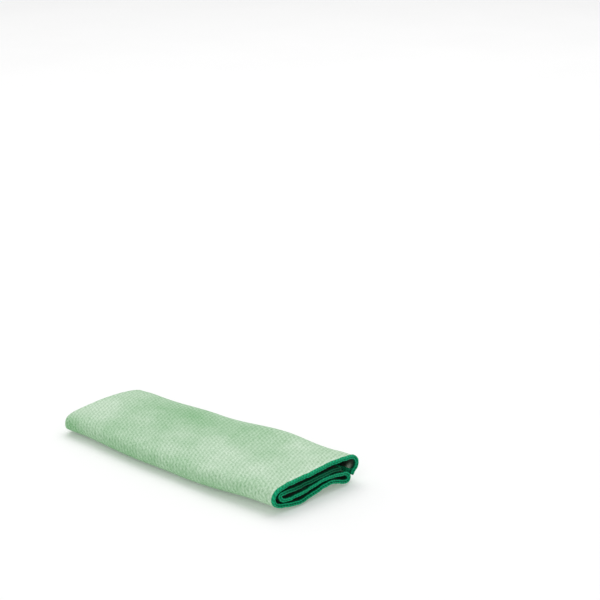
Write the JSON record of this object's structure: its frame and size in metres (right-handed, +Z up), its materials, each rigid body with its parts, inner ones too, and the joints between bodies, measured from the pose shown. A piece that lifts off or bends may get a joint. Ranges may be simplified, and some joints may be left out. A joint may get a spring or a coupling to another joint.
{
  "type": "folded microfibre cloth",
  "caption": "Light green microfibre cleaning cloth with a dark green overlocked edge, folded once across and then back and forth into a long flat bundle.",
  "frame": {"origin": "on the flat underside of the bottom layer, half a folded length from the hemmed end, where the bundle rests", "axes": "+X along the bundle to its hemmed end, +Y across it from the big front fold to the back side, +Z up"},
  "size_m": [0.206, 0.0854, 0.0213],
  "materials": {
    "microfibre": "matt knitted microfibre with a fine slanted rib",
    "edging": "satin overlock thread"
  },
  "bodies": {
    "root": {"folded_cloth": "microfibre"}
  },
  "joints": []
}
